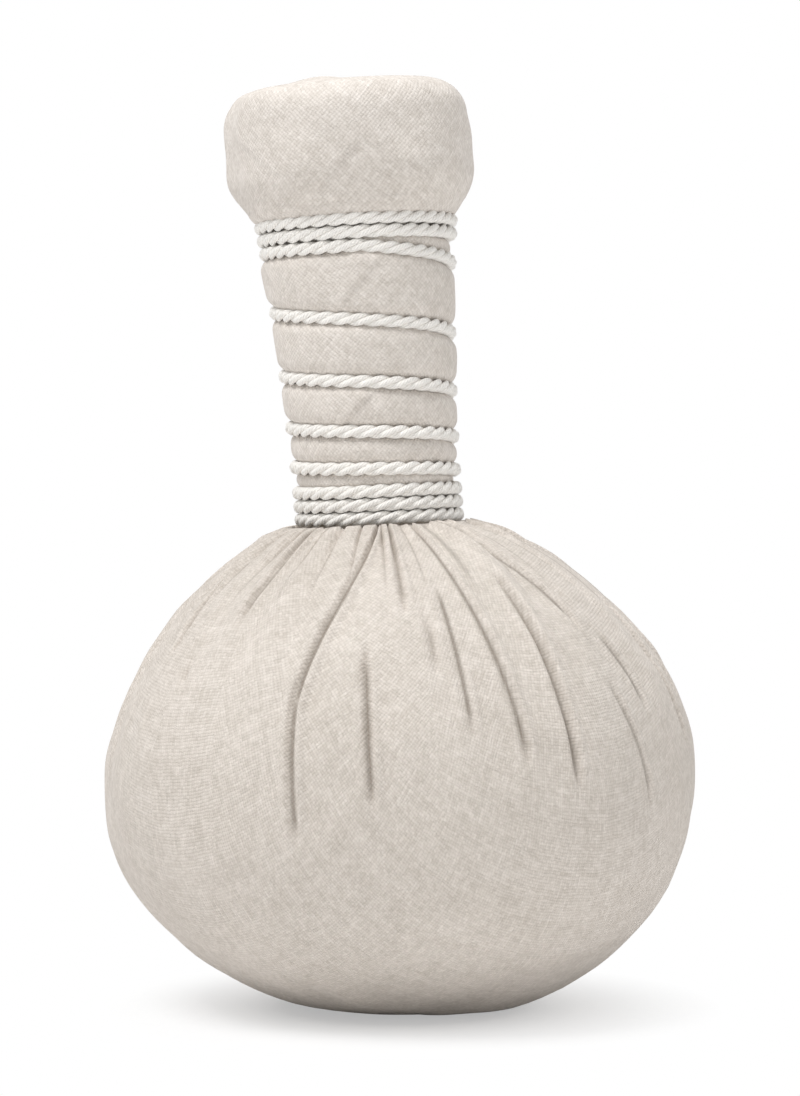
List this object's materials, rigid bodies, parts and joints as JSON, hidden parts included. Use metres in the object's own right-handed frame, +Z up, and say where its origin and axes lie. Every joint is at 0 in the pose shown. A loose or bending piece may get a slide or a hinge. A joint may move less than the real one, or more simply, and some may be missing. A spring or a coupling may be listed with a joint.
{
  "type": "herbal compress ball",
  "caption": "Cloth ball of dried herbs with a gathered neck and a folded cloth handle bound by a spiral of cotton cord, flat underneath so that it stands.",
  "frame": {"origin": "middle of the flat that the ball rests on", "axes": "+Z up, -Y towards the viewer's side, and the handle leans towards -X"},
  "size_m": [0.0998, 0.1, 0.1579],
  "materials": {
    "calico": "unbleached plain-weave cotton calico, matt, creased into pleats",
    "cotton_cord": "three-strand twisted cotton cord, natural white, matt",
    "ground_herbs": "coarsely ground dried herbs and salt",
    "dried_plai": "dried cassumunar ginger slices, fibrous",
    "dried_turmeric": "dried turmeric slices",
    "dried_lemongrass": "dried lemongrass stalk, striated",
    "dried_peel": "dried kaffir lime peel, pitted",
    "dried_leaf": "dried tamarind and lime leaf",
    "camphor": "waxy white camphor lumps"
  },
  "bodies": {
    "ball": {"ball_cover": "calico", "herb_crumb": "ground_herbs", "plai_slices": "dried_plai", "turmeric_slices": "dried_turmeric", "lemongrass_cuts": "dried_lemongrass", "lime_peel": "dried_peel", "leaf_flakes": "dried_leaf", "camphor_lumps": "camphor"},
    "neck": {"neck_gather": "calico"},
    "handle": {"tail_twist": "calico", "cloth_corner_front": "calico", "cloth_corner_right": "calico", "cloth_corner_back": "calico", "cloth_corner_left": "calico", "handle_cover": "calico", "binding_cord": "cotton_cord"}
  },
  "joints": [
    {"name": "neck_nod", "type": "hinge", "parent": "ball", "child": "neck", "pos_m": [-0.00333, 0, 0.08137], "axis": [1, 0, 0], "range_deg": [-12, 12], "stiffness_Nm_per_rad": 2},
    {"name": "neck_sway", "type": "hinge", "parent": "neck", "child": "handle", "pos_m": [-0.00333, 0, 0.08137], "axis": [0, 1, 0], "range_deg": [-12, 12], "stiffness_Nm_per_rad": 2}
  ]
}
